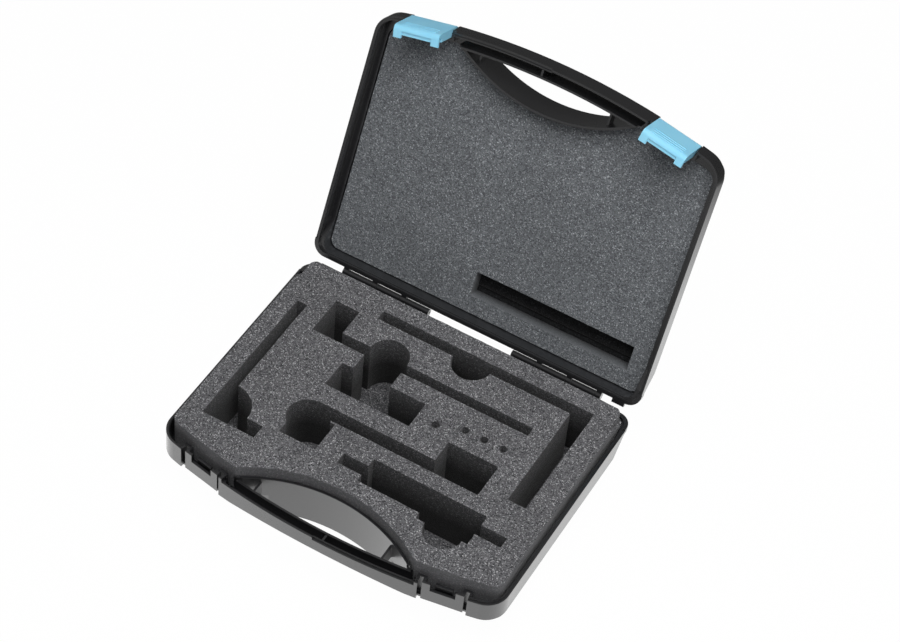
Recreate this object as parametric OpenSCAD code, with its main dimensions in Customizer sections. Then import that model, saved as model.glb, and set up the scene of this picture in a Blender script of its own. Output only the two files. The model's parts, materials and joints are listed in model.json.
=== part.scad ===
// Moulded tool case with an arched front, a two-part handle, two snap latches and foam inlays.
// Both shells are drawn with the case shut, then the lid and its latches are swung open.
// X runs along the hinge, Y runs back to the hinge, Z is up from the underside of the base.

/* [Case outline] */
// Overall width across the rims
case_w = 341.6; // [320:0.1:380]
// Overall depth, from the hinge wall to the top of the front arch
case_d = 265.2; // [255:0.1:290]
// Radius of the arched front
arch_r = 690; // [600:1:900]
// Rim corner radius at the front
front_corner_r = 22; // [16:0.5:24]
// Rim corner radius at the back
back_corner_r = 13; // [9:0.5:18]

/* [Shells] */
// Depth of the base below the parting line
base_depth = 57; // [52:0.5:75]
// Depth of the lid above the parting line
lid_depth = 37.5; // [35:0.5:55]
// Wall thickness of both shells
wall = 2.5; // [2:0.1:3]
// Width of the thick rim that carries the tongue and groove
rim_w = 4; // [3.8:0.1:5.4]
// Height of that rim
rim_h = 5; // [4:0.5:7]
// Height of the outer band of the base
base_band = 23; // [21:0.1:27]
// Height of the outer band of the lid
lid_band = 16; // [14:0.1:17]
// Thickness of the back flange at the hinge
flange_h = 5; // [4:0.5:6.5]
// Distance from the back rim at which the bands start to thin towards that flange
wedge_start = 32.6; // [28:0.1:36]
// Length of the slope between them
wedge_run = 16; // [12:0.5:20]
// How far the base tub stands in from the sides
base_tub_side = 9.5; // [7:0.5:12]
// How far the base tub stands in from the front arch
base_tub_front = 27; // [24:0.5:30]
// How far the lid tub stands in from the sides
lid_tub_side = 6; // [5:0.5:9]
// How far the lid tub stands in from the front arch
lid_tub_front = 12.5; // [12:0.5:16]
// How far both tubs stand in from the back
tub_back = 2; // [1:0.5:4]
// Corner radius of the base tub at the back
base_tub_r = 22; // [16:0.5:28]
// Corner radius of the lid tub at the back
lid_tub_r = 11.5; // [9:0.5:16]
// Corner radius of the tubs at the front
tub_front_r = 13; // [9:0.5:16]

/* [Tongue and lip] */
// Thickness of the outer lip on one half of each rim
lip_w = 2; // [1.6:0.1:2.2]
// Height of the lip, and depth of the ledge on the other half
lip_h = 1.5; // [1:0.1:2]
// Thickness of the tongue that stands inside the ledge
tongue_w = 1.4; // [1:0.1:1.7]
// Distance from the back rim at which lip and ledge end
lip_back = 15; // [13:0.5:30]

/* [Handle] */
// Radius of the finger recess behind the handle
recess_r = 148; // [140:1:155]
// Distance from the front arch back to the deepest point of the recess
recess_d = 43.8; // [40:0.2:48]
// Height over which the underside of the base slopes up to the foot of the recess
recess_foot = 12; // [6:0.5:14]
// Distance of the web in the left end of the finger opening from the middle
web_left = 69; // [60:0.5:72]
// Distance of the web in the right end of the finger opening from the middle
web_right = 60; // [52:0.5:72]
// How far the top of those webs lies below the parting line
web_low = 5; // [4.8:0.1:12]
// Width of the handle bar
bar_w = 12.6; // [11.5:0.1:15]
// Thickness of the wall of the bar on the side of the fingers
bar_wall = 2; // [1.6:0.1:2.5]
// How far the handle halves meet below the parting line of the rims
handle_drop = 4.5; // [3:0.1:6]
// Depth of the handle half on the base below the parting line, at its middle
base_bar_h = 18.5; // [16:0.5:20]
// Distance between the end of the handle and the latch beside it
handle_end = 3.2; // [3:0.1:8]
// Distance from the end of the handle to the hollow inside its bar
bar_end = 2.6; // [2.2:0.1:8]
// Distance from the end of that hollow to the arched underside of the base handle
bar_arch_end = 6; // [4:0.5:12]
// Thickness of the cross rib in each handle half
bar_rib = 2; // [1.5:0.1:3]
// Distance of that rib from the middle
bar_rib_x = 8; // [2:1:40]

/* [Latches] */
// Distance of the middle of each latch from the side of the case
latch_side = 49; // [45:0.2:52]
// Width of a latch
latch_w = 44; // [38:0.5:46]
// Thickness of the front plate of a latch
latch_t = 2.6; // [2.2:0.1:3]
// How far a latch stands proud of the front arch
latch_out = 1; // [0.6:0.1:1.4]
// Thickness of the side wall at each end of a latch
leg_w = 2.6; // [2.2:0.1:3.4]
// Depth of each side wall
leg_d = 8; // [7:0.1:8.5]
// Depth of the side walls of a latch at their foot, where they pass the bottom of the base band
leg_foot_d = 4; // [3.2:0.1:6]
// Radius of the rounded pivot end of a latch
latch_end_r = 4.4; // [4:0.1:4.6]
// Height of the latch pivot above the parting line
latch_pivot_z = 9.6; // [9:0.1:10.5]
// Thickness of the hook that grips under the base band
hook_t = 2.4; // [2:0.1:2.6]
// Depth of the hook between the toes
hook_d = 8.5; // [7:0.1:9]
// Depth at which the underside of the hook steps up between the toes
hook_step = 5.2; // [4.8:0.1:6]
// Height of that step
hook_rise = 1; // [0.6:0.1:1.2]
// Width of the toe at each end of the hook
toe_w = 7.5; // [6:0.1:9]
// Depth of those toes
toe_d = 11.5; // [9.5:0.1:13]
// Radius of the rounded outer edge of the hook
hook_round = 4.6; // [3:0.1:4.8]
// Radius of the pivot stubs
stub_r = 1.6; // [1.3:0.1:2]
// Length of the pivot stubs
stub_l = 2.6; // [2:0.1:3]
// Height of the three grip ribs on a latch
grip_h = 0.4; // [0.3:0.1:0.6]
// Width of those ribs
grip_w = 1.6; // [1.2:0.1:2]
// Distance of the ribs from the ends of the latch
grip_end = 5.5; // [4:0.5:14]
// Heights of the ribs from the parting line
grip_z = [-20.8, -17, -13.2];
// Half width of the lowered middle of each latch seat
seat_low_half = 11.5; // [9:0.5:13]
// How far the middle of each seat is lowered
seat_low = 8.5; // [6:0.5:11]
// Width of the catch bar behind each seat
catch_w = 16; // [8:0.5:18]
// How far the top of the catch bar lies below the parting line
catch_low = 3.6; // [3:0.1:8]
// How far the underside of the catch bar lies above the lower edge of the band
catch_foot = 1; // [0.5:0.1:2]

/* [Hinge] */
// Distance of the hinge axis behind the back rim
hinge_out = 5; // [4.4:0.1:6]
// Height of the hinge axis above the parting line
hinge_up = 1.9; // [1.2:0.1:2.4]
// Radius of the barrels
barrel_r = 3.5; // [3.2:0.1:3.6]
// Radius of the hinge pins
pin_r = 1.25; // [1:0.05:1.4]
// Length of each base barrel
barrel_l = 24.6; // [20:0.1:25]
// Length of each lid lug
lug_l = 5.5; // [4.5:0.1:6]
// Distance of the outermost lid lug from the side of the case
hinge_side = 35.5; // [34:0.5:50]
// Number of barrels in each group
barrels = 3; // [2:1:3]
// Opening angle of the lid
lid_open = 113.4; // [100:0.1:118]
// Width of the guide tab on the back rim of each shell
tab_w = 12.2; // [8:0.1:14]
// Distance of the middle of the guide tab from the side of the case
tab_side = 19; // [18.8:0.1:22]
// Reach of the guide tab behind the rim
tab_out = 3.8; // [2.5:0.1:4.5]
// Height of the guide tab
tab_h = 3.5; // [2.5:0.1:4.5]
// Depth of the heel on each lid lug, which stops the open lid
heel_h = 4.5; // [3.5:0.1:4.8]
// Width of that heel
heel_w = 2.2; // [1.5:0.1:2.8]

/* [Foam] */
// Height of the base foam above the parting line
foam_proud = 11.6; // [9:0.1:12]
// Thickness of the foam under the pockets
foam_floor = 5; // [4:0.5:8]
// Distance of the lid foam face behind the parting line
lid_foam_in = 16.2; // [16:0.1:17.5]
// Thickness of the lid foam backing layer
lid_foam_back_t = 3; // [2:0.5:7]
// Corner radius of the foam
foam_corner_r = 9; // [8:0.5:14]
// Thickness of the adhesive strips behind the lid foam
tape_t = 0.5; // [0.3:0.1:0.8]
// Width of the adhesive strips
tape_w = 25; // [15:1:30]
// Length of the adhesive strips
tape_l = 160; // [100:1:180]
// Distance of the strips from the front arch
tape_front = 72.6; // [60:0.1:80]
// Distance of the middles of the outer strips from the sides of the case
tape_side = 60; // [40:1:80]

/* [Foam pockets] */
// Slots and blocks are given by their left edge, front edge, width and length,
// round finger spaces by their centre and radius, all from the middle of the case.
// Long slot at the left
left_slot = [-147, -78.7, 10, 154.7]; // [-160:0.1:160]
// Foot of the left slot
left_foot = [-147, -78.7, 52.7, 14.5]; // [-160:0.1:160]
// Finger space of the left slot
left_round = [-137, -64.2, 26.5]; // [-160:0.1:160]
// Block at the back of the stepped pocket
centre_block = [-117.5, 54.7, 24.5, 40.6]; // [-160:0.1:160]
// Neck of the stepped pocket
centre_neck = [-117.5, 54.7, 73.5, 10.8]; // [-160:0.1:160]
// Finger space of the stepped pocket
centre_round = [-44, 65.5, 19]; // [-160:0.1:160]
// Middle part of the stepped pocket
centre_side = [-63, 30, 38, 35.5]; // [-160:0.1:160]
// Foot of the stepped pocket
centre_foot = [-74.3, 7, 85.9, 28.9]; // [-160:0.1:160]
// Long slot of the stepped pocket
centre_slot = [-44, 55.3, 148.5, 9.7]; // [-160:0.1:160]
// Slot along the back
corner_back = [-75, 98, 217.1, 10.5]; // [-160:0.1:220]
// Slot along the right side
corner_side = [124.2, -15.4, 17.9, 123.9]; // [-160:0.1:160]
// Finger space of the slot along the back
corner_round = [22.8, 99, 19]; // [-160:0.1:160]
// End of the pocket with the long bar
middle_end = [-79.5, -60.4, 36.5, 32.4]; // [-160:0.1:160]
// Finger space of that pocket
middle_round = [-67, -33.3, 19.7]; // [-160:0.1:160]
// Long bar of that pocket
middle_slot = [-67, -25.6, 167, 12.4]; // [-160:0.1:180]
// Block at the right of that pocket
middle_block = [50.3, -25.6, 49.7, 36.1]; // [-160:0.1:160]
// Neck of the front pocket
front_neck = [-19.5, -61.9, 25.5, 11.4]; // [-160:0.1:160]
// Body of the front pocket
front_body = [5.5, -69.2, 113, 27.7]; // [-160:0.1:160]
// Step of the front pocket
front_step = [68, -75.6, 50.5, 34.1]; // [-160:0.1:160]
// Tail of the front pocket
front_tail = [118, -63, 25.9, 11.1]; // [-160:0.1:160]
// Finger space of the front pocket
front_round = [95, -75.5, 18]; // [-160:0.1:160]
// Centres of the four small round holes
small_hole_at = [[30.6, 21.1], [55.7, 30.2], [74.9, 30.2], [94, 30.2]];
// Depth of the four small round holes
small_hole_depth = 25; // [10:1:40]
// Diameter of the four small round holes
small_hole_d = 7; // [4:0.5:9]
// Slot in the lid foam
lid_slot = [-16, 86, 161, 24]; // [-160:0.1:170]

/* [Clearances] */
// Gap between the two rims when the case is shut
part_gap = 0.3; // [0.2:0.05:0.4]
// Gap between a latch and what it lies against
latch_gap = 0.4; // [0.3:0.05:0.5]
// Running clearance of the pivot stubs and hinge pins, on the radius
run_gap = 0.08; // [0.05:0.01:0.1]
// Gap between the foam and the recess wall or the back of the tub
foam_gap = 0.9; // [0.6:0.1:1.2]
// Gap between the foam and the latch bays
foam_front_gap = 1.9; // [1:0.1:2.5]
// Gap between the foam and the walls of the tubs
foam_side_gap = 0.5; // [0.3:0.1:0.8]
// Clearance between the base foam and the rim
foam_rim_gap = 1.8; // [0.9:0.1:2.6]
// Extra depth of the slots behind the side walls of the latches
slot_play = 0.2; // [0.1:0.1:0.5]
// Clearance under the side walls of a latch, above the bottom of the base band
leg_lift = 0.6; // [0.5:0.1:1]
// Extra depth of the latch bays in the lid
bay_play = 0.6; // [0.3:0.1:1]
// Gap between stacked pieces
seat_gap = 0.1; // [0.05:0.05:0.2]

/* [Hidden] */
$fn = 64;
BIG = 360;
EPS = 0.01;
TINY = 0.001;
FAR = 500;

half_w = case_w / 2;
latch_x = half_w - latch_side;
tab_x = half_w - tab_side;
handle_half = latch_x - latch_w / 2 - handle_end;
bar_hollow = handle_half - bar_end;
bar_skin = lip_w + 0.1;
bar_tongue_skin = lip_w + part_gap + tongue_w - 0.1;
back_y = case_d / 2;
front_y = -case_d / 2;
arch_y = front_y + arch_r;
recess_y = front_y + recess_d - recess_r;
part_z = base_depth;

hinge_y = back_y + hinge_out;
hinge_z = part_z + hinge_up;

shell_black = [0.11, 0.11, 0.12];
latch_blue = [0.55, 0.80, 0.93];
foam_grey = [0.31, 0.32, 0.33];
steel = [0.72, 0.72, 0.74];
tape_tan = [0.80, 0.74, 0.60];

foam_top = part_z + foam_proud;
foam_in = rim_w + foam_rim_gap;
foam_front_in = latch_bay_d() - latch_out + wall + foam_front_gap;
ledge_top = part_z - base_band + wall + seat_gap;
floor_top = wall + seat_gap + foam_floor;

// Depth of the bays that the latch legs lie in
function latch_bay_d() = leg_d + latch_gap + slot_play;

// Y of a circle of radius r about the arch centre, at a distance x from the middle
function arch_at(r, x) = arch_y - sqrt(r * r - x * x);

// Plan outline with straight sides and back and the arched front.
// side, back and front are the distances in from the rim outline.
module plan(side, back, front, r_front, r_back) {
    hw = half_w - side;
    yb = back_y - back;
    rf = arch_r - front;
    xf = hw - r_front;
    yf = arch_at(rf - r_front, xf);
    xb = hw - r_back;
    q = (rf + 5) / (rf - r_front);
    out_y = arch_y + q * (yf - arch_y);
    difference() {
        intersection() {
            translate([-hw, -FAR])
                square([2 * hw, FAR + yb]);
            arch_disc(front);
        }
        for (s = [-1, 1]) {
            difference() {
                polygon([[s * xf, yf], [s * (hw + 20), yf], [s * (hw + 20), out_y], [s * q * xf, out_y]]);
                translate([s * xf, yf])
                    circle(r_front + TINY);
            }
            difference() {
                translate([s > 0 ? xb : -hw - 20, yb - r_back])
                    square([r_back + 20, r_back + 20]);
                translate([s * xb, yb - r_back])
                    circle(r_back + TINY);
            }
        }
    }
}

// Rim outline moved in by the same distance all round
module rim_plan(in) {
    plan(in, in, in, front_corner_r - in, back_corner_r - in);
}

// Disc of the finger recess, grown by a distance
module recess_disc(grow) {
    translate([0, recess_y])
        circle(recess_r + grow, $fn = BIG);
}

// Disc whose front edge is an arch at a distance in from the front of the case
module arch_disc(in) {
    translate([0, arch_y])
        circle(arch_r - in, $fn = BIG);
}

// Slope that runs down and out from the foot of the recess, moved out by a distance
module recess_slope(out) {
    over = 2;
    translate([0, recess_y, -base_depth - 1])
        cylinder(
            r1 = recess_r + out + recess_foot + 1, r2 = recess_r + out - over,
            h = recess_foot + 1 + over, $fn = BIG
        );
}

// Everything in plan
module whole() {
    square(2 * FAR, center = true);
}

// Plan of the handle rim and bar, less a distance on every side
module handle_zone(less) {
    intersection() {
        translate([less - handle_half, front_y - 20])
            square([2 * (handle_half - less), 80]);
        union() {
            difference() {
                whole();
                arch_disc(rim_in - less);
            }
            difference() {
                recess_disc(wall / 2 - less);
                arch_disc(bar_w + 1 - less);
            }
        }
    }
}

// Plan of the half of the rim that lies on one side, clear of the hinge and of the latch bays,
// made longer by a distance at every end
module rim_side(side, over) {
    difference() {
        translate([side > 0 ? -over : -FAR, -FAR])
            square([FAR + over, FAR + back_y - lip_back + over]);
        for (s = [-1, 1])
            at_latch(s)
                translate([over - bay_half, -20])
                    square([2 * (bay_half - over), 20 + bay_d]);
    }
}

// What is cut from the top of a rim, over a zone given in plan, to leave the lip on one half
// and the tongue and its ledge on the other
module rim_top(z_top, tongue_side) {
    translate([0, 0, z_top + lip_h])
        linear_extrude(FAR)
            children();
    translate([0, 0, z_top])
        linear_extrude(FAR)
            difference() {
                children();
                difference() {
                    rim_side(-tongue_side, -part_gap / 2);
                    rim_plan(lip_w);
                }
            }
    translate([0, 0, z_top - lip_h])
        linear_extrude(FAR)
            intersection() {
                children();
                rim_side(tongue_side, part_gap / 2);
                difference() {
                    whole();
                    difference() {
                        rim_plan(lip_w + part_gap);
                        rim_plan(lip_w + part_gap + tongue_w);
                    }
                    rim_plan(ledge_in);
                }
            }
}

// Wedge that thins the outer band towards the hinge, moved inwards by a distance
module back_wedge(band, in) {
    run = wedge_run;
    rise = band - flange_h;
    len = sqrt(run * run + rise * rise);
    y0 = back_y - wedge_start;
    z0 = -band;
    s = (in + rise - in * run / len) / (rise / len);
    ya = y0 - in * rise / len;
    za = z0 + in * run / len;
    yb = ya + s * run / len;
    zb = za + s * rise / len;
    translate([-FAR, 0, 0])
        rotate([90, 0, 90])
            linear_extrude(2 * FAR)
                polygon([
                    [ya - 60 * run / len, za - 60 * rise / len], [yb, zb], [yb + FAR, zb],
                    [yb + FAR, za - 60 * rise / len]
                ]);
}

// Places a latch or its seat: X along the front, Y inwards from the face of the latch, Z up
module at_latch(s) {
    a = asin(latch_x / arch_r);
    translate([s * latch_x, arch_at(arch_r, latch_x), 0])
        rotate([0, 0, s * a])
            translate([0, -latch_out, 0])
                children();
}

// Box in latch coordinates: along from x0 to x1, inwards from n0 to n1, up from z0 to z1
module latch_box(x0, x1, n0, n1, z0, z1) {
    translate([x0, n0, z0])
        cube([x1 - x0, n1 - n0, z1 - z0]);
}

bay_half = latch_w / 2 + latch_gap;
leg_in = latch_w / 2 - leg_w - latch_gap;
bay_d = latch_bay_d();
seat_in = latch_t + latch_gap;
rim_in = foam_in - foam_side_gap;
catch_in = rim_in + latch_out + foam_side_gap;
ledge_in = rim_w + 0.2;
lip_rim_w = wall + 0.1;

// Solid kept for the latch seats, so that the walls go round them
module seat_block(band, open_behind) {
    for (s = [-1, 1])
        at_latch(s)
            difference() {
                latch_box(-bay_half - wall, bay_half + wall, -20, bay_d + wall, -band, 0);
                if (open_behind)
                    latch_box(-leg_in + wall, leg_in - wall, seat_in + wall, 30, -band + wall, 1);
            }
}

// Shell with its rim at Z = 0 and its body below.
// depth, band, tub_side and tub_front shape the body, is_base tells the base from the lid, handle_z
// is the height of the handle rim above the rest, less is the clearance round it, and tongue_side
// is -1 or 1.
module shell(
    depth, band, tub_side, tub_front, tub_r, bar_h, is_base, tongue_side, handle_z, less
) {
    difference() {
        union() {
            difference() {
                translate([0, 0, -band])
                    linear_extrude(band + max(handle_z, 0) + lip_h + 1)
                        rim_plan(0);
                back_wedge(band, 0);
            }
            translate([0, 0, -depth])
                linear_extrude(depth)
                    plan(tub_side, tub_back, tub_front, tub_front_r, tub_r);
        }
        rim_top(0, tongue_side)
            difference() {
                whole();
                handle_zone(less + EPS);
            }
        rim_top(handle_z, tongue_side)
            handle_zone(less);
        // Inside of the tub
        difference() {
            translate([0, 0, -depth + wall])
                linear_extrude(depth + 1 - rim_h)
                    difference() {
                        plan(
                            tub_side + wall, tub_back + wall, tub_front + wall,
                            tub_front_r - wall, tub_r - wall
                        );
                        recess_disc(wall);
                    }
            if (is_base)
                recess_slope(wall * sqrt(2));
        }
        // Inside of the band, below and between the rim
        difference() {
            union() {
                translate([0, 0, -band + wall])
                    linear_extrude(band - wall - rim_h)
                        difference() {
                            rim_plan(wall);
                            recess_disc(wall);
                        }
                translate([0, 0, -rim_h - EPS])
                    linear_extrude(rim_h + 1)
                        difference() {
                            rim_plan(rim_w);
                            recess_disc(wall);
                        }
                // The half with the lip has no inner ledge
                translate([0, 0, -rim_h - 2 * EPS])
                    linear_extrude(rim_h + 1)
                        difference() {
                            intersection() {
                                rim_plan(lip_rim_w);
                                rim_side(-tongue_side, -part_gap);
                            }
                            recess_disc(wall);
                        }
            }
            back_wedge(band, wall);
            seat_block(band, is_base);
        }
        // Finger opening, with a web left standing near each end
        difference() {
            translate([0, 0, -depth - 1])
                linear_extrude(FAR)
                    intersection() {
                        recess_disc(0);
                        arch_disc(bar_w);
                    }
            for (x = [-web_left, web_right])
                translate([x - bar_rib / 2, front_y, -band])
                    cube([bar_rib, recess_d, band - web_low]);
        }
        // Tub below the opening and the handle
        translate([0, 0, -depth - 1])
            linear_extrude(depth + 1 - band)
                recess_disc(0);
        if (is_base)
            recess_slope(0);
        // Hollow of the handle bar, with one cross rib left standing
        difference() {
            translate([0, 0, -bar_h + wall])
                linear_extrude(FAR)
                    difference() {
                        intersection() {
                            arch_disc(bar_skin);
                            translate([-bar_hollow, front_y])
                                square([2 * bar_hollow, 60]);
                        }
                        arch_disc(bar_w - bar_wall);
                        difference() {
                            translate([tongue_side > 0 ? -1 : -FAR, -FAR])
                                square([FAR + 1, 2 * FAR]);
                            arch_disc(bar_tongue_skin);
                        }
                    }
            translate([tongue_side * bar_rib_x - bar_rib / 2, front_y, -FAR])
                cube([bar_rib, 60, FAR + handle_z - 1]);
        }
        // Arched underside of the handle
        if (is_base) {
            rise = band - bar_h;
            half = bar_hollow - bar_arch_end;
            r = (half * half + rise * rise) / (2 * rise);
            intersection() {
                translate([0, front_y + 60, -bar_h - r])
                    rotate([90, 0, 0])
                        cylinder(r = r, h = 80, $fn = BIG);
                translate([0, 0, -band - 1])
                    linear_extrude(band)
                        recess_disc(0);
            }
        }
    }
}

// X positions of the base barrels and the lid lugs on one side, measured from the middle
barrel_pitch = barrel_l + lug_l + 2 * part_gap;
hinge_inner = half_w - hinge_side - barrels * barrel_pitch + part_gap;
function barrel_at(i) = hinge_inner + i * barrel_pitch;
function lug_at(i) = barrel_at(i) + barrel_l + part_gap;
pin_start = hinge_inner + 1;
pin_end = lug_at(barrels - 1) + lug_l;

// Bar along X with its axis on the hinge line, from x0 to x1
module hinge_rod(x0, x1, r) {
    translate([x0, hinge_out + back_y, hinge_up])
        rotate([0, 90, 0])
            cylinder(r = r, h = x1 - x0);
}

// Profile in the YZ plane, run along X from x0 to x1
module along_x(x0, x1) {
    translate([x0, 0, 0])
        rotate([90, 0, 90])
            linear_extrude(x1 - x0)
                children();
}

// One barrel of the base with its web
module base_barrel(x0) {
    hinge_rod(x0, x0 + barrel_l, barrel_r);
    along_x(x0, x0 + barrel_l)
        polygon([
            [back_y - 1, -flange_h], [back_y - 1, -part_gap], [hinge_y - barrel_r, -part_gap],
            [hinge_y, hinge_up], [hinge_y + barrel_r * 0.7, hinge_up - barrel_r * 0.7],
            [hinge_y - 1, -flange_h]
        ]);
}

// One lug of the lid, drawn with the lid shut, with the heel that stops the lid when open
module lid_lug(x0) {
    reach = hinge_out - part_gap + 0.05;
    hinge_rod(x0, x0 + lug_l, barrel_r);
    along_x(x0, x0 + lug_l)
        polygon([
            [back_y - 1, part_gap], [hinge_y - 1.5, part_gap], [hinge_y, hinge_up],
            [hinge_y, hinge_up + barrel_r], [back_y - 1, hinge_up + barrel_r]
        ]);
    translate([0, hinge_y, hinge_up])
        rotate([lid_open, 0, 0])
            along_x(x0, x0 + lug_l)
                polygon([
                    [0, 0], [-reach, -part_gap], [-reach, -heel_h], [-reach + heel_w, -heel_h],
                    [pin_r, -pin_r]
                ]);
}

// Small tab on the back rim that guides the shells together
module guide_tab(x, up) {
    translate([x - tab_w / 2, back_y - 1, up > 0 ? part_gap : -tab_h])
        cube([tab_w, tab_out + 1, tab_h - part_gap]);
}

// Turns the lid from shut to open, about the hinge
module opened() {
    translate([0, hinge_y, hinge_z])
        rotate([-lid_open, 0, 0])
            translate([0, -hinge_y, -hinge_z])
                children();
}

module base_shell() {
    color(shell_black)
        translate([0, 0, part_z])
            difference() {
                union() {
                    difference() {
                        union() {
                            shell(
                                base_depth, base_band, base_tub_side, base_tub_front, base_tub_r,
                                base_bar_h, true, 1, -handle_drop, 0
                            );
                            base_catches();
                        }
                        base_seats();
                    }
                    for (i = [0 : barrels - 1]) {
                        base_barrel(barrel_at(i));
                        base_barrel(-barrel_at(i) - barrel_l);
                    }
                    guide_tab(-tab_x, -1);
                }
                for (s = [-1, 1])
                    hinge_rod(
                        s > 0 ? hinge_inner - 1 : -pin_end - 2,
                        s > 0 ? pin_end + 2 : 1 - hinge_inner,
                        pin_r + run_gap
                    );
            }
}

// Sunk seats for the latches, with slots for their side walls and a lowered middle
module base_seats() {
    for (s = [-1, 1])
        at_latch(s) {
            latch_box(-bay_half, bay_half, -20, seat_in, -base_band - 1, 5);
            latch_box(-seat_low_half, seat_low_half, -20, rim_in + latch_out, -seat_low, 5);
            for (t = [-1, 1]) {
                latch_box(
                    t > 0 ? leg_in : -bay_half, t > 0 ? bay_half : -leg_in,
                    -20, bay_d, wall - base_band, 5
                );
                latch_box(
                    t > 0 ? leg_in : -bay_half, t > 0 ? bay_half : -leg_in,
                    -20, leg_foot_d + latch_gap + slot_play, -base_band - 1, 5
                );
            }
        }
}

// Catch bars that stand behind the latch seats
module base_catches() {
    for (s = [-1, 1])
        at_latch(s)
            latch_box(
                -catch_w / 2, catch_w / 2, catch_in, catch_in + wall,
                catch_foot - base_band, -catch_low
            );
}

module lid_shell() {
    color(shell_black)
        opened()
            translate([0, 0, part_z])
                difference() {
                    union() {
                        difference() {
                            translate([0, 0, part_gap])
                                mirror([0, 0, 1])
                                    shell(
                                        lid_depth, lid_band, lid_tub_side, lid_tub_front, lid_tub_r,
                                        lid_band, false, -1, handle_drop, part_gap
                                    );
                            lid_bays();
                        }
                        for (i = [0 : barrels - 1]) {
                            lid_lug(lug_at(i));
                            lid_lug(-lug_at(i) - lug_l);
                        }
                        guide_tab(tab_x, 1);
                    }
                    for (s = [-1, 1])
                        hinge_rod(
                            s > 0 ? hinge_inner - 1 : -pin_end - 2,
                            s > 0 ? pin_end + 2 : 1 - hinge_inner,
                            pin_r + run_gap
                        );
                    for (s = [-1, 1])
                        at_latch(s)
                            latch_rod(latch_w + 2 * stub_l + 1, stub_r + run_gap);
                }
}

// Bays for the latches, open to the front
module lid_bays() {
    for (s = [-1, 1])
        at_latch(s)
            latch_box(-bay_half, bay_half, -20, bay_d + bay_play, -lip_h - 1, lid_band + 1);
}

// Round bar on the pivot line of a latch
module latch_rod(length, r) {
    translate([-length / 2, latch_end_r, latch_pivot_z])
        rotate([0, 90, 0])
            cylinder(r = r, h = length);
}

// One latch, in latch coordinates
module latch() {
    half = latch_w / 2;
    foot = -base_band - part_gap;
    low = foot - hook_t;
    difference() {
        union() {
            latch_rod(latch_w, latch_end_r);
            latch_box(-half, half, 0, latch_t, low, latch_pivot_z);
            latch_box(-half + 1, half - 1, 0, hook_step, low, foot);
            latch_box(-half + 1, half - 1, 0, hook_d, low + hook_rise, foot);
            for (s = [-1, 1]) {
                latch_box(
                    s > 0 ? half - leg_w : -half, s > 0 ? half : -half + leg_w,
                    0, leg_d, wall - base_band + leg_lift, latch_pivot_z
                );
                latch_box(
                    s > 0 ? half - leg_w : -half, s > 0 ? half : -half + leg_w,
                    0, leg_foot_d, low, latch_pivot_z
                );
                latch_box(
                    s > 0 ? half - toe_w : -half, s > 0 ? half : -half + toe_w,
                    0, toe_d, low, foot
                );
            }
            latch_rod(latch_w + 2 * stub_l, stub_r);
            for (z = grip_z)
                latch_box(-half + grip_end, half - grip_end, -grip_h, 1, z, z + grip_w);
        }
        difference() {
            latch_box(-half - 1, half + 1, -5, hook_round, low - 5, low + hook_round);
            translate([0, hook_round, low + hook_round])
                rotate([0, 90, 0])
                    cylinder(r = hook_round + TINY, h = latch_w + 10, center = true);
        }
    }
}

module latch_left() {
    color(latch_blue)
        opened()
            translate([0, 0, part_z])
                at_latch(-1)
                    latch();
}

module latch_right() {
    color(latch_blue)
        opened()
            translate([0, 0, part_z])
                at_latch(1)
                    latch();
}

module hinge_pin_left() {
    color(steel)
        translate([0, 0, part_z])
            hinge_rod(-pin_end, -pin_start, pin_r);
}

module hinge_pin_right() {
    color(steel)
        translate([0, 0, part_z])
            hinge_rod(pin_start, pin_end, pin_r);
}

// Upper outline of the foam in both shells
module foam_plan(side) {
    difference() {
        plan(side, side, foam_front_in, foam_corner_r, foam_corner_r);
        recess_disc(wall + foam_gap);
    }
}

// Rectangle given by its left edge, front edge, width and length
module area(a) {
    translate([a[0], a[1]])
        square([a[2], a[3]]);
}

// Round finger space given by its centre and radius
module disc(d) {
    translate([d[0], d[1]])
        circle(d[2]);
}

// Half of a round finger space, on the side of a line at y that side points to
module half_disc(d, y, side) {
    intersection() {
        disc(d);
        translate([-FAR, side > 0 ? y : y - FAR])
            square([2 * FAR, FAR]);
    }
}

// Long slot at the left, with a quarter-round finger space and a foot
module pocket_left() {
    area(left_slot);
    area(left_foot);
    difference() {
        half_disc(left_round, left_round[1] - 0.1, 1);
        translate([left_slot[0] - FAR, -FAR])
            square([FAR, 2 * FAR]);
    }
}

// Stepped pocket with a round finger space and a long slot
module pocket_centre() {
    area(centre_block);
    area(centre_neck);
    disc(centre_round);
    area(centre_side);
    area(centre_foot);
    area(centre_slot);
}

// Slot along the back and right, with a round finger space
module pocket_corner() {
    area(corner_back);
    area(corner_side);
    half_disc(corner_round, corner_back[1] + 2, -1);
}

// Pocket with a round end, a long bar and a block at the right
module pocket_middle() {
    area(middle_end);
    disc(middle_round);
    area(middle_slot);
    area(middle_block);
}

// Wide pocket at the front with a round finger space below it
module pocket_front() {
    area(front_neck);
    area(front_body);
    area(front_step);
    area(front_tail);
    half_disc(front_round, front_step[1] + 5.6, -1);
}

module small_holes() {
    for (p = small_hole_at)
        translate(p)
            circle(small_hole_d / 2);
}

// Outline of the foam in the deep tub
module deep_foam_plan() {
    difference() {
        plan(
            base_tub_side + wall + foam_side_gap, tub_back + wall + foam_gap,
            base_tub_front + wall + foam_side_gap,
            tub_front_r - wall - foam_side_gap, base_tub_r - wall - foam_side_gap
        );
        recess_disc(wall + foam_gap);
    }
}

// Slope of the foam over the foot of the recess
module foam_slope() {
    translate([0, 0, part_z])
        recess_slope((wall + foam_gap) * sqrt(2));
}

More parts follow.
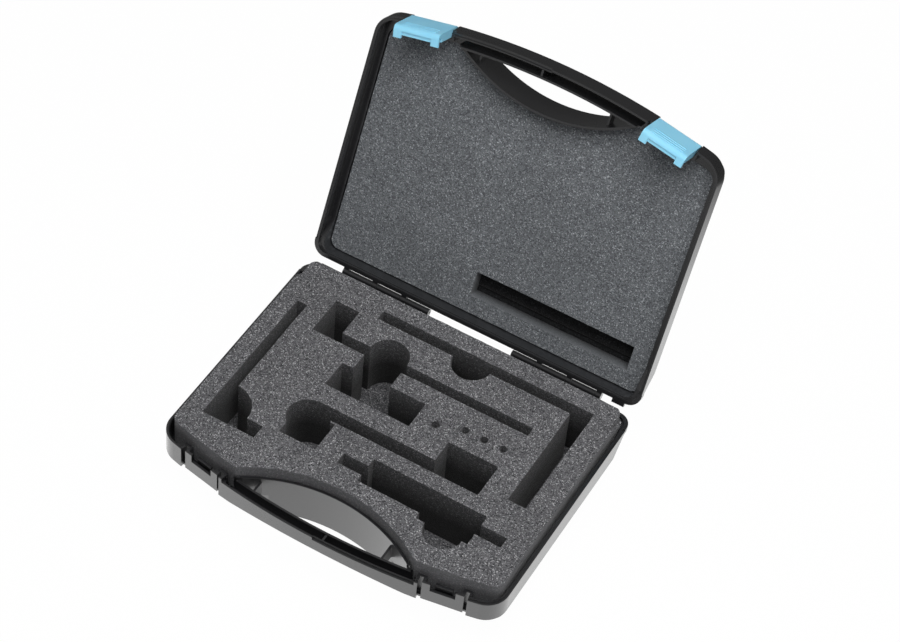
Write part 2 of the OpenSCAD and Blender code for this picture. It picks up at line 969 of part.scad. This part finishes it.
// Space that the thin back corners of the shut lid take up beside its tub
module lid_flange_space() {
    translate([0, 0, part_z + part_gap])
        intersection() {
            mirror([0, 0, 1])
                back_wedge(lid_band, wall + foam_side_gap);
            linear_extrude(FAR)
                difference() {
                    whole();
                    lid_tub_space();
                }
        }
}

module base_foam() {
    color(foam_grey)
        difference() {
            union() {
                difference() {
                    translate([0, 0, ledge_top])
                        linear_extrude(foam_top - ledge_top)
                            foam_plan(foam_in);
                    translate([0, 0, part_z])
                        back_wedge(base_band, wall + foam_side_gap);
                    lid_flange_space();
                }
                difference() {
                    translate([0, 0, floor_top + seat_gap])
                        linear_extrude(foam_top - floor_top - seat_gap)
                            deep_foam_plan();
                    foam_slope();
                }
            }
            translate([0, 0, -1])
                linear_extrude(foam_top + 2) {
                    pocket_left();
                    pocket_centre();
                    pocket_corner();
                    pocket_middle();
                    pocket_front();
                }
            translate([0, 0, foam_top - small_hole_depth])
                linear_extrude(small_hole_depth + 1)
                    small_holes();
        }
}

module base_foam_floor() {
    color(foam_grey)
        difference() {
            translate([0, 0, wall + seat_gap])
                linear_extrude(foam_floor)
                    deep_foam_plan();
            foam_slope();
        }
}

lid_foam_z = part_z + part_gap + lid_foam_in;
lid_back_z = part_z + part_gap + lid_depth - wall - 2 * seat_gap - tape_t - lid_foam_back_t;

module lid_foam() {
    color(foam_grey)
        opened()
            translate([0, 0, lid_foam_z])
                linear_extrude(lid_back_z - seat_gap - lid_foam_z)
                    difference() {
                        lid_foam_plan();
                        area(lid_slot);
                    }
}

// Outline of the space for foam in the lid tub
module lid_tub_space() {
    plan(
        lid_tub_side + wall + foam_side_gap, tub_back + wall + foam_side_gap,
        lid_tub_front + wall + foam_side_gap,
        tub_front_r - wall - foam_side_gap, lid_tub_r - wall - foam_side_gap
    );
}

module lid_foam_plan() {
    difference() {
        lid_tub_space();
        recess_disc(wall + foam_gap);
    }
}

module lid_foam_back() {
    color(foam_grey)
        opened()
            translate([0, 0, lid_back_z])
                linear_extrude(lid_foam_back_t)
                    lid_foam_plan();
}

module lid_foam_tape() {
    color(tape_tan)
        opened()
            for (x = [-1, 0, 1] * (half_w - tape_side))
                translate([
                    x - tape_w / 2, front_y + tape_front, lid_back_z + lid_foam_back_t + seat_gap
                ])
                    cube([tape_w, tape_l, tape_t]);
}

base_shell();
lid_shell();
latch_left();
latch_right();
hinge_pin_left();
hinge_pin_right();
base_foam();
base_foam_floor();
lid_foam();
lid_foam_back();
lid_foam_tape();
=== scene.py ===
"""Moulded tool case: foam pieces, finishes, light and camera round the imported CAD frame."""
import json
import math

import bpy
import numpy as np
from mathutils import Matrix, Vector, noise


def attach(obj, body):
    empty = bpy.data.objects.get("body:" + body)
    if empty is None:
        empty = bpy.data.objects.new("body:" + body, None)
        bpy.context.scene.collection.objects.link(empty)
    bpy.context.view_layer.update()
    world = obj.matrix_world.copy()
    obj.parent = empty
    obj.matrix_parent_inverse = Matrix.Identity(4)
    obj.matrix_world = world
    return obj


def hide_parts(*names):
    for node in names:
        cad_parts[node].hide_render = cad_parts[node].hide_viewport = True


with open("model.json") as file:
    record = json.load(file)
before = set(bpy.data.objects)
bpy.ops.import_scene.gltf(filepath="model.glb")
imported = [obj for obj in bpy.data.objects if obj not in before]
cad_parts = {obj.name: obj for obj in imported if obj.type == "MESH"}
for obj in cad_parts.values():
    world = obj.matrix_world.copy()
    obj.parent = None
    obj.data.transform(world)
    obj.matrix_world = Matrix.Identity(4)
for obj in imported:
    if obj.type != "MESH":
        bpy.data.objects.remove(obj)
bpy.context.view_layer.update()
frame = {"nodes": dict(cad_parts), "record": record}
NODES = frame["nodes"]

# Camera of the photograph, in metres
CAM_PLACE = (0.6574979, -1.2990624, 1.8866071)
CAM_RIGHT = (0.862157, 0.501253, 0.073698)
CAM_DOWN = (0.421791, -0.629545, -0.652507)
CAM_FORWARD = (-0.280675, 0.593649, -0.754190)
CAM_LENS = 106.34
CAM_SENSOR = 36.0

# The directions that the skived faces of the foam look in, in the base and in the open lid
UP = (0.0, 0.0, 1.0)
LID_OPEN = math.radians(113.4)
OUT_OF_LID = (0.0, -math.sin(LID_OPEN), -math.cos(LID_OPEN))

# Grains and finer structure of the foam, as noise scales
GRAIN_SCALE = 980
FINE_SCALE = 1050
# How much of its colour the foam keeps on the walls of its pockets, where it is darker as painted shade, and
# on its outer sides
POCKET_WALL_SHADED = 0.72
OUTER_WALL = 0.95
# Share of the plain, less speckled colour on those walls and sides
POCKET_PLAIN = 0.3
OUTER_PLAIN = 0.75
# How much the walls and the floors of the pockets keep deep down, under painted shade that grows with depth
DEEP_WALL_SHADED = 0.06
DEEP_FLOOR_SHADED = 0.6
# Depth below its face at which the painted shade in the foam starts
SHADE_FADE_START = 0.001
# These mark the pockets of the base foam, whose walls get painted shade in the foam's colour
# Centre and radius, in plan, of the hollow that the base foam leaves for the finger recess,
# and the half width and the front and back of the area that holds its pockets
RECESS_PLACE = (0.0, -0.2368)
RECESS_REACH = 0.1530
POCKETS_X = 0.1530
POCKETS_Y = (-0.0985, 0.1180)

# Remesh of the cut foam, and the angle above which its edges stay crisp
REMESH_DEPTH = 7
REMESH_SCALE = 0.95
CUT_ANGLE = math.radians(40)
# Broad and fine waves in the foam's faces: noise scale and share of each
WAVES = ((45, 0.6), (190, 0.4))
# The waves are sunk by this much of their size, so that the faces lie mostly inside those of the solid
WAVE_SINK = 0.6

# Light of the room: how bright it is in front of the object and behind it, and overhead
ROOM_FRONT = 0.42
ROOM_BACK = 0.05
CEILING = 0.25
# Share of that light that falls on the object other than in reflections
ROOM_SHARE = 0.25

# Half size of the floor, and how far it lies below the case
FLOOR_HALF = 6.0
FLOOR_DROP = 0.0002
# Reflections show a white table out to the first distance, and the dim room past the second
TABLE_EDGE = (0.38, 0.62)
ROOM_FLOOR = 0.06
# Share of plain white in the camera's view of the floor. The rest is lit floor with the shadow on it
FLOOR_WHITE = 0.985

LAMP_AIM = (0, 0, 0.1)


class Tree:
    """Short ways to add nodes to one node tree."""

    def __init__(self, tree):
        self.tree = tree

    def node(self, kind, **values):
        made = self.tree.nodes.new(kind)
        for key, value in values.items():
            setattr(made, key, value)
        return made

    def link(self, a, b):
        self.tree.links.new(a, b)

    def span(self, value, a, b, low, high):
        """Maps the range from a to b onto the range from low to high."""
        n = self.node("ShaderNodeMapRange")
        for key, number in zip(("From Min", "From Max", "To Min", "To Max"), (a, b, low, high)):
            n.inputs[key].default_value = number
        self.link(value, n.inputs["Value"])
        return n.outputs["Result"]

    def math(self, operation, a, b=0.0):
        """The output of a Math node for two sockets or numbers."""
        n = self.node("ShaderNodeMath", operation=operation)
        for socket, value in zip(n.inputs, (a, b)):
            if isinstance(value, (int, float)):
                socket.default_value = value
            else:
                self.link(value, socket)
        return n.outputs["Value"]

    def mirror_rays(self, path):
        """1 for the rays that a reflection or a clear material sends on."""
        return self.math("MAXIMUM", path.outputs["Is Glossy Ray"], path.outputs["Is Transmission Ray"])


class Finish(Tree):
    """Short ways to add shader nodes to one material."""

    def __init__(self, name):
        self.mat = bpy.data.materials.new(name)
        self.mat.use_nodes = True
        super().__init__(self.mat.node_tree)
        self.bsdf = self.tree.nodes["Principled BSDF"]
        coord = self.node("ShaderNodeTexCoord")
        self.coord = coord.outputs["Object"]
        self.side = coord.outputs["Normal"]

    def noise(self, scale, detail=2.0, rough=0.5, vector=None):
        n = self.node("ShaderNodeTexNoise")
        n.inputs["Scale"].default_value = scale
        n.inputs["Detail"].default_value = detail
        n.inputs["Roughness"].default_value = rough
        self.link(vector or self.coord, n.inputs["Vector"])
        return n.outputs["Fac"]

    def cells(self, scale, output="Distance"):
        n = self.node("ShaderNodeTexVoronoi", feature="F1")
        n.inputs["Scale"].default_value = scale
        self.link(self.coord, n.inputs["Vector"])
        return n.outputs[output]

    def ramp(self, fac, stops):
        n = self.node("ShaderNodeValToRGB")
        while len(n.color_ramp.elements) < len(stops):
            n.color_ramp.elements.new(0.5)
        for element, (place, colour) in zip(n.color_ramp.elements, stops):
            element.position = place
            if not isinstance(colour, tuple):
                colour = (colour,) * 3
            element.color = (*colour, 1)
        self.link(fac, n.inputs["Fac"])
        return n.outputs["Color"]

    def mix(self, fac, a, b, blend="MIX"):
        n = self.node("ShaderNodeMix", data_type="RGBA", blend_type=blend)
        for key, value in (("Factor_Float", fac), ("A_Color", a), ("B_Color", b)):
            socket = next(s for s in n.inputs if s.identifier == key)
            if isinstance(value, (int, float)) and key != "Factor_Float":
                socket.default_value = (value, value, value, 1)
            elif isinstance(value, (int, float)):
                socket.default_value = value
            elif isinstance(value, tuple):
                socket.default_value = (*value, 1)
            else:
                self.link(value, socket)
        return next(s for s in n.outputs if s.identifier == "Result_Color")

    def dot(self, vector, direction):
        n = self.node("ShaderNodeVectorMath", operation="DOT_PRODUCT")
        self.link(vector, n.inputs[0])
        n.inputs[1].default_value = direction
        return n.outputs["Value"]

    def outer(self):
        """1 on the outer sides of the base foam and on all foam of the lid, 0 in the base foam's pockets."""
        place = self.node("ShaderNodeSeparateXYZ")
        self.link(self.coord, place.inputs["Vector"])
        x, y = place.outputs["X"], place.outputs["Y"]
        right = self.math("SUBTRACT", x, RECESS_PLACE[0])
        up = self.math("SUBTRACT", y, RECESS_PLACE[1])
        squares = self.math("ADD", self.math("MULTIPLY", right, right), self.math("MULTIPLY", up, up))
        tests = (
            self.math("LESS_THAN", self.math("SQRT", squares), RECESS_REACH),
            self.math("GREATER_THAN", self.math("ABSOLUTE", x), POCKETS_X),
            self.math("LESS_THAN", y, POCKETS_Y[0]),
            self.math("GREATER_THAN", y, POCKETS_Y[1]),
        )
        found = tests[0]
        for test in tests[1:]:
            found = self.math("MAXIMUM", found, test)
        return found

    def bump(self, height, strength, distance, normal=None):
        n = self.node("ShaderNodeBump")
        n.inputs["Strength"].default_value = strength
        n.inputs["Distance"].default_value = distance
        self.link(height, n.inputs["Height"])
        if normal is not None:
            self.link(normal, n.inputs["Normal"])
        return n.outputs["Normal"]

    def soft_edge(self, radius):
        n = self.node("ShaderNodeBevel")
        n.samples = 6
        n.inputs["Radius"].default_value = radius
        return n.outputs["Normal"]

    def set(self, **values):
        """Sets the shader's own sockets, with _ for a space in their names."""
        for key, value in values.items():
            socket = self.bsdf.inputs[key.replace("_", " ")]
            if isinstance(value, (int, float)):
                socket.default_value = value
            elif isinstance(value, tuple):
                socket.default_value = (*value, 1)[:len(socket.default_value)]
            else:
                self.link(value, socket)
        return self.mat


def shell_plastic():
    m = Finish("shell_black_plastic")
    grain = m.noise(2600, 3, 0.6)
    broad = m.noise(26, 3, 0.5)
    flow = m.noise(7, 2, 0.5)
    return m.set(
        Base_Color=m.ramp(broad, [(0.3, (0.009, 0.009, 0.010)), (0.7, (0.012, 0.012, 0.013))]),
        Roughness=m.math("ADD", m.span(grain, 0.3, 0.7, -0.05, 0.05), m.span(flow, 0.3, 0.7, 0.27, 0.35)),
        IOR=1.6,
        Coat_Weight=1.0,
        Coat_IOR=1.65,
        Coat_Roughness=0.21,
        Normal=m.bump(grain, 0.35, 0.00012, m.soft_edge(0.0009)),
    )


def latch_plastic():
    m = Finish("latch_blue_plastic")
    broad = m.noise(60, 3, 0.5)
    grain = m.noise(3200, 2, 0.5)
    return m.set(
        Base_Color=m.ramp(broad, [(0.3, (0.270, 0.640, 0.850)), (0.7, (0.300, 0.670, 0.870))]),
        Roughness=m.span(grain, 0.3, 0.7, 0.36, 0.44),
        Subsurface_Weight=0.12,
        Subsurface_Radius=(0.4, 0.8, 1.0),
        Subsurface_Scale=0.002,
        Normal=m.bump(grain, 0.2, 0.00008, m.soft_edge(0.0005)),
    )


def foam(name, dark, light, speck, face, top, fade, sides_keep):
    """Open-cell foam: grains of about a millimetre, dark pores and a few bright cell walls.

    face is the direction of the skived face and top its place along that. The cut walls are smoother. Those
    of the pockets are darker as painted shade, and walls and floors grow darker over the depth fade as
    painted shade. sides_keep is the least share of its colour that the outer sides keep under that painted
    shade.
    """
    m = Finish(name)
    outer = m.outer()
    parts = m.node("ShaderNodeSeparateColor")
    m.link(m.cells(GRAIN_SCALE, "Color"), parts.inputs["Color"])
    fine = m.noise(FINE_SCALE, 2, 0.7)
    shade = m.noise(18, 3, 0.55)
    tone = m.math("ADD", m.math("MULTIPLY", parts.outputs["Red"], 0.6), m.span(fine, 0.35, 0.65, 0, 0.4))
    base = m.ramp(tone, [(0.15, dark), (0.50, light), (0.72, light), (0.92, speck)])
    skived = m.mix(1.0, base, m.ramp(shade, [(0.3, 0.88), (0.7, 1.0)]), "MULTIPLY")

    # 1 on cut walls and 0 on faces that look the way of the skived one
    wall = m.span(m.dot(m.side, face), 0.3, 0.8, 1.0, 0.0)
    # Painted shade: the walls of the pockets are darker than the outer sides
    plain = m.mix(outer, tuple(c * POCKET_WALL_SHADED for c in light), tuple(c * OUTER_WALL for c in light))
    plain = m.mix(1.0, plain, m.ramp(fine, [(0.3, 0.8), (0.7, 1.0)]), "MULTIPLY")
    cut = m.mix(1.0, skived, m.mix(outer, POCKET_WALL_SHADED, OUTER_WALL), "MULTIPLY")
    cut = m.mix(m.span(outer, 0.0, 1.0, POCKET_PLAIN, OUTER_PLAIN), cut, plain)
    toned = m.mix(wall, skived, cut)

    # Painted shade: walls and floors grow darker with depth below the face, and the outer sides keep at least
    # sides_keep
    keeps = m.span(m.dot(m.coord, face), top - fade, top - SHADE_FADE_START, 0.0, 1.0)
    keeps = m.math("MAXIMUM", keeps, m.span(wall, 0.0, 1.0, DEEP_FLOOR_SHADED, DEEP_WALL_SHADED))
    keeps = m.math("MAXIMUM", keeps, m.math("MULTIPLY", outer, sides_keep))
    toned = m.mix(1.0, toned, m.ramp(keeps, [(0.0, 0.0), (1.0, 1.0)]), "MULTIPLY")

    height = m.math("ADD", fine, m.math("MULTIPLY", m.cells(GRAIN_SCALE), -0.4))
    return m.set(
        Base_Color=toned,
        Roughness=0.95,
        Sheen_Weight=0.1,
        Sheen_Roughness=0.5,
        Specular_IOR_Level=0.2,
        Normal=m.bump(height, 0.8, 0.0005, m.soft_edge(0.0004)),
    )


def steel():
    m = Finish("pin_drawn_steel")
    stretch = m.node("ShaderNodeMapping")
    stretch.inputs["Scale"].default_value = (40, 2500, 2500)
    m.link(m.coord, stretch.inputs["Vector"])
    lines = m.noise(1, 3, 0.6, stretch.outputs["Vector"])
    return m.set(
        Base_Color=(0.60, 0.60, 0.62),
        Metallic=1.0,
        Roughness=m.span(lines, 0.3, 0.7, 0.25, 0.4),
        Normal=m.bump(lines, 0.2, 0.0001),
    )


def tape():
    m = Finish("tape_cloth")
    warp = m.node("ShaderNodeTexWave", bands_direction="X")
    weft = m.node("ShaderNodeTexWave", bands_direction="Y")
    for wave in (warp, weft):
        wave.inputs["Scale"].default_value = 500
        m.link(m.coord, wave.inputs["Vector"])
    weave = m.math("MULTIPLY", warp.outputs["Fac"], weft.outputs["Fac"])
    return m.set(
        Base_Color=m.ramp(weave, [(0.0, (0.40, 0.34, 0.24)), (1.0, (0.62, 0.55, 0.42))]),
        Roughness=0.7,
        Normal=m.bump(weave, 0.4, 0.0002),
    )


def face_place(node, direction):
    """How far the outermost face of a node lies along a direction."""
    return max(Vector(direction).dot(vertex.co) for vertex in NODES[node].data.vertices)


def dress(obj, material):
    obj.data.materials.clear()
    obj.data.materials.append(material)


def foam_block(name, node, body, material, wander, seed):
    """A piece of cut foam in the place of a CAD node, with crisp cut edges and slightly wandering faces."""
    obj = bpy.data.objects.new(name, NODES[node].data.copy())
    bpy.context.scene.collection.objects.link(obj)
    remesh = obj.modifiers.new("remesh", "REMESH")
    remesh.mode = "SHARP"
    remesh.octree_depth = REMESH_DEPTH
    remesh.scale = REMESH_SCALE
    remesh.sharpness = 1.0
    remesh.use_remove_disconnected = False
    bpy.context.view_layer.update()
    shaped = bpy.data.meshes.new_from_object(obj.evaluated_get(bpy.context.evaluated_depsgraph_get()))
    obj.modifiers.clear()
    obj.data = shaped
    shaped.name = name
    count = len(shaped.vertices)
    place = np.zeros(count * 3, np.float32)
    normal = np.zeros(count * 3, np.float32)
    shaped.vertices.foreach_get("co", place)
    shaped.vertices.foreach_get("normal", normal)
    place = place.reshape(-1, 3)
    normal = normal.reshape(-1, 3)
    offset = Vector((seed * 3.1, seed * 1.7, seed * 2.3))
    waves = []
    for point in place.tolist():
        spot = Vector(point)
        waves.append(sum(noise.noise(spot * scale + offset) * share for scale, share in WAVES))
    sink = np.array(waves, np.float32) - WAVE_SINK
    place = place + normal * (wander * sink)[:, None]
    shaped.vertices.foreach_set("co", place.ravel())
    shaped.update()
    shaped.shade_smooth()
    shaped.set_sharp_from_angle(angle=CUT_ANGLE)
    dress(obj, material)
    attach(obj, body)
    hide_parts(node)


def stage_floor():
    """White to the camera. Reflections show a white table, and the dim room past its edge."""
    corners = [(-1, -1), (1, -1), (1, 1), (-1, 1)]
    mesh = bpy.data.meshes.new("floor")
    mesh.from_pydata([(x * FLOOR_HALF, y * FLOOR_HALF, 0) for x, y in corners], [], [(0, 1, 2, 3)])
    obj = bpy.data.objects.new("floor", mesh)
    obj.location.z = -FLOOR_DROP
    bpy.context.scene.collection.objects.link(obj)
    mat = bpy.data.materials.new("floor_white")
    mat.use_nodes = True
    t = Tree(mat.node_tree)
    bsdf = t.tree.nodes["Principled BSDF"]
    bsdf.inputs["Base Color"].default_value = (0.80, 0.80, 0.80, 1)
    bsdf.inputs["Roughness"].default_value = 1.0
    bsdf.inputs["Specular IOR Level"].default_value = 0.0
    path = t.node("ShaderNodeLightPath")
    camera_rays = path.outputs["Is Camera Ray"]
    mirrored = t.mirror_rays(path)
    reach = t.node("ShaderNodeVectorMath", operation="LENGTH")
    t.link(t.node("ShaderNodeTexCoord").outputs["Object"], reach.inputs[0])
    table = t.span(reach.outputs["Value"], *TABLE_EDGE, 1.0, ROOM_FLOOR)
    glow = t.node("ShaderNodeEmission")
    glow.inputs["Color"].default_value = (1, 1, 1, 1)
    t.link(t.math("MAXIMUM", camera_rays, t.math("MULTIPLY", mirrored, table)), glow.inputs["Strength"])
    mix = t.node("ShaderNodeMixShader")
    white = t.math("MULTIPLY", camera_rays, FLOOR_WHITE)
    t.link(t.math("MAXIMUM", white, mirrored), mix.inputs["Fac"])
    t.link(bsdf.outputs["BSDF"], mix.inputs[1])
    t.link(glow.outputs["Emission"], mix.inputs[2])
    t.link(mix.outputs["Shader"], t.tree.nodes["Material Output"].inputs["Surface"])
    mesh.materials.append(mat)


def stage_world():
    """White to the camera. On the object it is a room that is bright in front and dim behind and overhead."""
    world = bpy.data.worlds.new("studio")
    bpy.context.scene.world = world
    world.use_nodes = True
    t = Tree(world.node_tree)
    t.tree.nodes.clear()
    path = t.node("ShaderNodeLightPath")
    split = t.node("ShaderNodeSeparateXYZ")
    t.link(t.node("ShaderNodeTexCoord").outputs["Generated"], split.inputs["Vector"])
    side = t.span(split.outputs["Y"], -0.6, 0.5, ROOM_FRONT, ROOM_BACK)
    height = t.span(split.outputs["Z"], 0.05, 0.6, 1.0, 0.0)
    low = t.math("MULTIPLY", side, height)
    high = t.math("MULTIPLY", t.math("SUBTRACT", 1.0, height), CEILING)
    room = t.math("ADD", low, high)
    mirrored = t.math("MULTIPLY", t.mirror_rays(path), room)
    plain = t.math("MULTIPLY", room, ROOM_SHARE)
    seen = t.math("MAXIMUM", path.outputs["Is Camera Ray"], t.math("MAXIMUM", mirrored, plain))
    back = t.node("ShaderNodeBackground")
    back.inputs["Color"].default_value = (1, 1, 1, 1)
    t.link(seen, back.inputs["Strength"])
    t.link(back.outputs["Background"], t.node("ShaderNodeOutputWorld").inputs["Surface"])


def lamp(name, place, size, power, mirrored=True):
    """A soft box aimed at the object. mirrored says whether glossy surfaces show it."""
    data = bpy.data.lights.new(name, "AREA")
    data.shape = "RECTANGLE"
    data.size, data.size_y = size
    data.energy = power
    obj = bpy.data.objects.new(name, data)
    obj.location = place
    obj.rotation_mode = "QUATERNION"
    obj.rotation_quaternion = (Vector(LAMP_AIM) - Vector(place)).to_track_quat("-Z", "Y")
    obj.visible_glossy = mirrored
    bpy.context.scene.collection.objects.link(obj)


def camera():
    data = bpy.data.cameras.new("photo_camera")
    data.sensor_width = CAM_SENSOR
    data.lens = CAM_LENS
    data.clip_start = 0.1
    data.clip_end = 50
    obj = bpy.data.objects.new("photo_camera", data)
    turn = Matrix((Vector(CAM_RIGHT), -Vector(CAM_DOWN), -Vector(CAM_FORWARD))).transposed().to_4x4()
    turn.translation = Vector(CAM_PLACE)
    obj.matrix_world = turn
    bpy.context.scene.collection.objects.link(obj)
    bpy.context.scene.camera = obj


FINISH = {
    "shell_black": shell_plastic(),
    "latch_blue": latch_plastic(),
    "pin_steel": steel(),
    "tape_tan": tape(),
}
for part in frame["record"]["subparts"]:
    if part["material_slot"] in FINISH:
        dress(NODES[part["node"]], FINISH[part["material_slot"]])

# fade and sides_keep set how deep the painted shade in each foam reaches and how much the outer sides are
# spared
BASE_PLACE = {"face": UP, "top": face_place("base_foam", UP), "fade": 0.036, "sides_keep": 0.95}
LID_PLACE = {"face": OUT_OF_LID, "top": face_place("lid_foam", OUT_OF_LID), "fade": 0.019, "sides_keep": 0.0}
BASE_FOAM = foam(
    "foam_base_grey",
    dark=(0.024, 0.024, 0.026),
    light=(0.130, 0.130, 0.137),
    speck=(0.54, 0.54, 0.55),
    **BASE_PLACE,
)
LID_FOAM = foam(
    "foam_lid_grey",
    dark=(0.058, 0.062, 0.067),
    light=(0.148, 0.157, 0.168),
    speck=(0.44, 0.46, 0.48),
    **LID_PLACE,
)
BACK_FOAM = foam(
    "foam_backing_black",
    dark=(0.006, 0.006, 0.007),
    light=(0.020, 0.021, 0.022),
    speck=(0.06, 0.06, 0.065),
    **LID_PLACE,
)

# Name, node, body, material, how far the faces wander, and seed
FOAM_PIECES = (
    ("foam_base_cut", "base_foam", "base", BASE_FOAM, 0.0004, 1),
    ("foam_base_floor", "base_foam_floor", "base", BASE_FOAM, 0.0003, 2),
    ("foam_lid_cut", "lid_foam", "lid", LID_FOAM, 0.0004, 3),
    ("foam_lid_backing", "lid_foam_back", "lid", BACK_FOAM, 0.0002, 4),
)
for piece in FOAM_PIECES:
    foam_block(*piece)

camera()
stage_floor()
stage_world()
lamp("key", (0.45, -0.45, 2.15), (1.6, 1.3), 53, mirrored=False)
lamp("front", (1.3, -1.9, 0.9), (1.4, 0.6), 4)
bpy.context.scene.view_settings.view_transform = "Standard"
